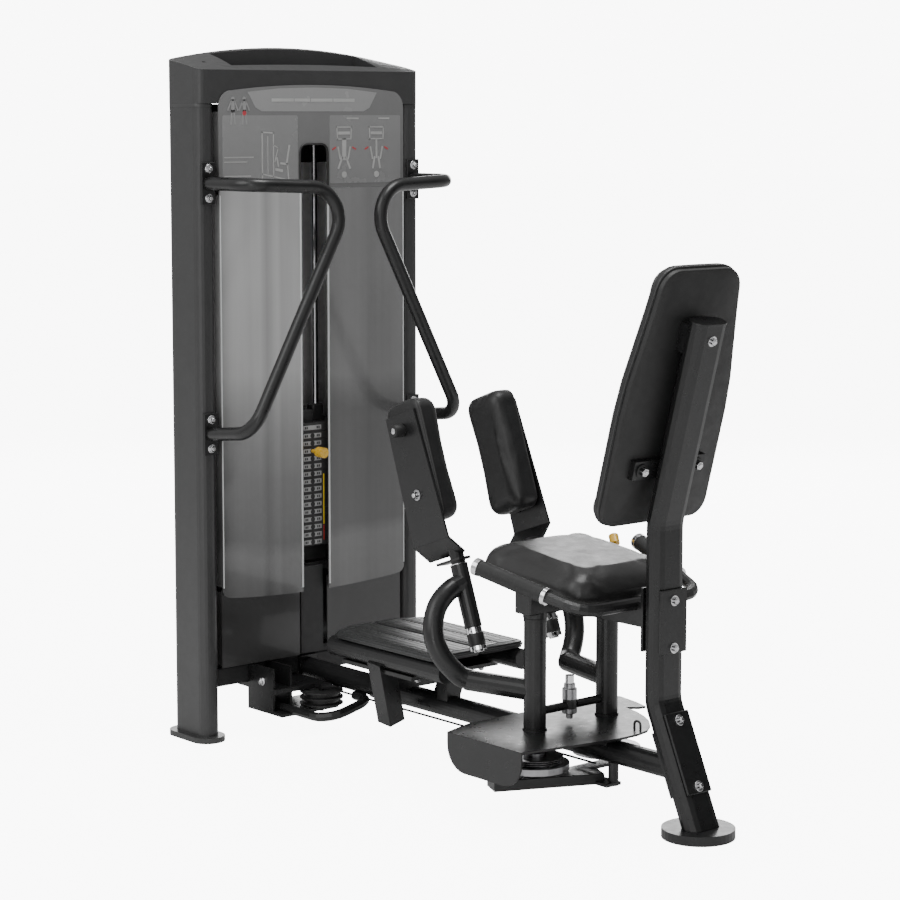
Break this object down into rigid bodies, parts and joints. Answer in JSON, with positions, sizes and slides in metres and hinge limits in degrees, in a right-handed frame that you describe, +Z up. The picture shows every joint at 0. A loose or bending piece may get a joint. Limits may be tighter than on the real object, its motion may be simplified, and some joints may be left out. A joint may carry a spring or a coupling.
{
  "type": "hip abductor machine",
  "caption": "Selectorised hip abduction and adduction machine: weight tower, handrails, tread base, reclined seat and swinging thigh pads.",
  "frame": {"origin": "on the floor, under the centre of the machine's bounding box", "axes": "+Z up, +Y from the seat toward the weight tower, +X to the seated user's right"},
  "size_m": [0.683, 1.494, 1.611],
  "materials": {
    "frame": "satin black-charcoal powder coat",
    "panel": "satin black sheet",
    "shield": "tinted glossy panel",
    "chrome": "polished",
    "iron": "black painted cast plate",
    "steel": "zinc plated",
    "vinyl": "black upholstery vinyl over foam",
    "rubber": "moulded black rubber",
    "cable": "nylon coated steel cable",
    "nylon": "black nylon",
    "yellow": "yellow moulded knob"
  },
  "bodies": {
    "frame": {"left_upright": "frame", "right_upright": "frame", "tower_cap": "frame", "cap_tray": "panel", "left_shield": "shield", "right_shield": "shield", "placard_panel": "shield", "left_kick_panel": "panel", "right_kick_panel": "panel", "rear_shroud": "panel", "base_crossbar": "frame", "top_crossbar": "frame", "left_guide_rod": "chrome", "right_guide_rod": "chrome", "stack_bumper": "rubber", "resting_plates": "iron", "lift_cable": "cable", "pulley_guard": "frame", "left_handrail": "frame", "right_handrail": "frame", "main_beam": "frame", "tread_frame": "frame", "left_tread": "rubber", "right_tread": "rubber", "deck_plate": "frame", "deck_tie_bar": "frame", "rear_post": "frame", "foot_disc": "frame", "upper_post_plate": "frame", "lower_post_plate": "frame", "seat_frame": "frame", "seat_cushion": "vinyl", "seat_handle": "frame", "left_grip": "rubber", "right_grip": "rubber", "backrest_board": "panel", "backrest_cushion": "vinyl"},
    "weight_stack": {"lifted_plates": "iron", "stack_head": "iron", "selector_rod": "chrome"},
    "selector_pin": {"selector_pin": "yellow"},
    "top_pulley": {"top_pulley": "nylon"},
    "base_pulley": {"base_pulley": "nylon"},
    "left_arm": {"left_arm": "frame", "left_cam": "steel"},
    "right_arm": {"right_arm": "frame", "right_cam": "steel"},
    "arm_plunger": {"arm_plunger": "chrome"},
    "left_pad": {"left_pad_shaft": "chrome", "left_pad_collars": "chrome", "left_pad_bracket": "frame", "left_thigh_pad": "vinyl"},
    "right_pad": {"right_pad_shaft": "chrome", "right_pad_collars": "chrome", "right_pad_bracket": "frame", "right_thigh_pad": "vinyl"},
    "release_lever": {"release_lever": "yellow"}
  },
  "joints": [
    {"name": "left_arm_swing", "type": "hinge", "parent": "frame", "child": "left_arm", "pos_m": [-0.105, -0.2945, 0.2505], "axis": [0, 0, 1], "range_deg": [0, 40]},
    {"name": "right_arm_swing", "type": "hinge", "parent": "frame", "child": "right_arm", "pos_m": [0.105, -0.2945, 0.2505], "axis": [0, 0, 1], "range_deg": [-41, 1]},
    {"name": "stack_lift", "type": "slide", "parent": "frame", "child": "weight_stack", "axis": [0, 0, 1], "range_m": [0, 0.262]},
    {"name": "pin_pull", "type": "slide", "parent": "weight_stack", "child": "selector_pin", "axis": [0, -1, 0], "range_m": [0, 0.045]},
    {"name": "top_pulley_spin", "type": "hinge", "parent": "frame", "child": "top_pulley", "pos_m": [0, 0.6865, 1.385], "axis": [1, 0, 0], "range_deg": [-540, 540]},
    {"name": "base_pulley_spin", "type": "hinge", "parent": "frame", "child": "base_pulley", "pos_m": [-0.045, 0.5195, 0.085], "axis": [0, 0, 1], "range_deg": [-400, 400]},
    {"name": "plunger_pull", "type": "slide", "parent": "left_arm", "child": "arm_plunger", "axis": [0, 0, 1], "range_m": [0, 0.016], "stiffness_N_per_m": 300, "springref_m": -0.004},
    {"name": "left_pad_turn", "type": "hinge", "parent": "left_arm", "child": "left_pad", "pos_m": [-0.11, -0.1035, 0.357], "axis": [0, 0.3502, 0.9367], "range_deg": [0, 180]},
    {"name": "right_pad_turn", "type": "hinge", "parent": "right_arm", "child": "right_pad", "pos_m": [0.11, -0.1035, 0.357], "axis": [0, 0.3502, 0.9367], "range_deg": [-180, 0]},
    {"name": "lever_lift", "type": "hinge", "parent": "frame", "child": "release_lever", "pos_m": [0.1505, -0.2955, 0.443], "axis": [1, 0, 0], "range_deg": [0, 20]}
  ],
  "couplings": [
    {"joint": "right_arm_swing", "follows": "left_arm_swing", "ratio": -1},
    {"joint": "stack_lift", "follows": "left_arm_swing", "m_per_rad": 0.37242},
    {"joint": "top_pulley_spin", "follows": "left_arm_swing", "ratio": -12.414},
    {"joint": "base_pulley_spin", "follows": "left_arm_swing", "ratio": -8.2761}
  ]
}
